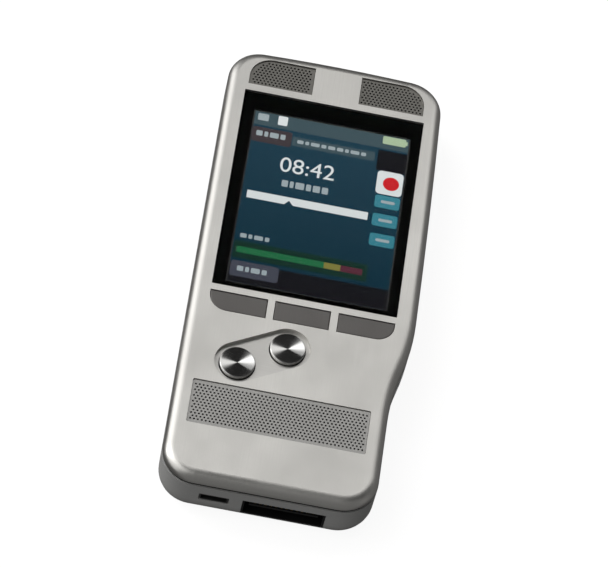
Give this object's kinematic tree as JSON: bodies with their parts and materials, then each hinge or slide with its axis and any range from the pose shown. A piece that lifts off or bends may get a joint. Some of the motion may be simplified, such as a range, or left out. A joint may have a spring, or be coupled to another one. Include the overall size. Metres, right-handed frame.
{
  "type": "handheld digital dictation recorder",
  "caption": "Slim pocket dictation recorder with colour display, function keys, tilting round rockers, microphone windows, speaker grille and sliding side switch.",
  "frame": {"origin": "centre of the width and length, on the flat back face", "axes": "+Z out of the display, +Y towards the microphone end, +X to the right of the display"},
  "size_m": [0.053, 0.123, 0.015],
  "materials": {
    "satin_metal": "fine brushed satin, clear anodised",
    "dark_metal": "dark anodised, faintly brushed",
    "spun_chrome": "radially spun, polished rim",
    "tray_metal": "satin",
    "shell_plastic": "fine-textured silver-grey paint",
    "frame_plastic": "fine matt black",
    "grille_metal": "perforated, dark satin",
    "mesh_metal": "fine dark mesh",
    "clear_glass": "clear, polished",
    "mask_black": "printed gloss black",
    "screen": "lit colour display",
    "board_green": "solder-masked glass-fibre board",
    "steel": "plated sheet steel",
    "screw_steel": "black zinc",
    "black_rubber": "soft matt",
    "grey_foam": "closed-cell foam",
    "switch_plastic": "fine matt, ribbed grip",
    "connector_plastic": "moulded black",
    "gold_contact": "gold-flashed",
    "card_blue": "moulded, satin",
    "cell_wrap": "shrink sleeve"
  },
  "bodies": {
    "case": {"front_plate": "satin_metal", "speaker_grille": "grille_metal", "mic_mesh_left": "mesh_metal", "mic_mesh_right": "mesh_metal", "display_lens": "clear_glass", "lens_mask": "mask_black", "lcd_module": "screen", "lcd_cushion": "grey_foam", "rocker_tray": "tray_metal", "rocker_pivot_upper": "frame_plastic", "rocker_pivot_lower": "frame_plastic", "dome_sheet": "steel", "middle_frame": "frame_plastic", "main_board": "board_green", "shield_can": "steel", "speaker": "frame_plastic", "mic_boot_left": "black_rubber", "mic_boot_right": "black_rubber", "mic_capsule_left": "steel", "mic_capsule_right": "steel", "headphone_jack": "connector_plastic", "microphone_jack": "connector_plastic", "usb_socket": "steel", "dock_connector": "connector_plastic", "dock_contacts": "gold_contact", "card_socket": "steel", "rear_shell": "shell_plastic", "battery": "cell_wrap", "battery_contacts": "gold_contact", "slide_switch_body": "steel", "power_switch_body": "steel", "side_button_switch": "steel", "case_screws": "screw_steel"},
    "left_key": {"key_left": "dark_metal"},
    "middle_key": {"key_middle": "dark_metal"},
    "right_key": {"key_right": "dark_metal"},
    "upper_rocker": {"rocker_upper": "spun_chrome"},
    "lower_rocker": {"rocker_lower": "spun_chrome"},
    "slide_switch": {"slide_switch_knob": "switch_plastic"},
    "power_switch": {"power_switch_knob": "switch_plastic"},
    "button": {"side_button": "dark_metal"},
    "card": {"memory_card": "card_blue"},
    "cover": {"battery_cover": "shell_plastic"}
  },
  "joints": [
    {"name": "left_key_press", "type": "slide", "parent": "case", "child": "left_key", "axis": [0, 0, -1], "range_m": [0, 0.0004], "stiffness_N_per_m": 800},
    {"name": "middle_key_press", "type": "slide", "parent": "case", "child": "middle_key", "axis": [0, 0, -1], "range_m": [0, 0.0004], "stiffness_N_per_m": 800},
    {"name": "right_key_press", "type": "slide", "parent": "case", "child": "right_key", "axis": [0, 0, -1], "range_m": [0, 0.0004], "stiffness_N_per_m": 800},
    {"name": "upper_rocker_tilt", "type": "hinge", "parent": "case", "child": "upper_rocker", "pos_m": [-0.0022, -0.0228, 0.0135], "axis": [0.9397, 0.342, 0], "range_deg": [-4, 4], "stiffness_Nm_per_rad": 0.02},
    {"name": "lower_rocker_tilt", "type": "hinge", "parent": "case", "child": "lower_rocker", "pos_m": [-0.0131, -0.029, 0.0135], "axis": [0.9397, 0.342, 0], "range_deg": [-4, 4], "stiffness_Nm_per_rad": 0.02},
    {"name": "slide_switch_travel", "type": "slide", "parent": "case", "child": "slide_switch", "axis": [0, 1, 0], "range_m": [-0.006, 0.003]},
    {"name": "power_switch_travel", "type": "slide", "parent": "case", "child": "power_switch", "axis": [0, 1, 0], "range_m": [-0.002, 0.002]},
    {"name": "side_button_press", "type": "slide", "parent": "case", "child": "button", "axis": [1, 0, 0], "range_m": [0, 0.0004], "stiffness_N_per_m": 800},
    {"name": "card_slide", "type": "slide", "parent": "case", "child": "card", "axis": [-1, 0, 0], "range_m": [0, 0.034]},
    {"name": "cover_slide", "type": "slide", "parent": "case", "child": "cover", "axis": [0, -1, 0], "range_m": [0, 0.072]}
  ]
}
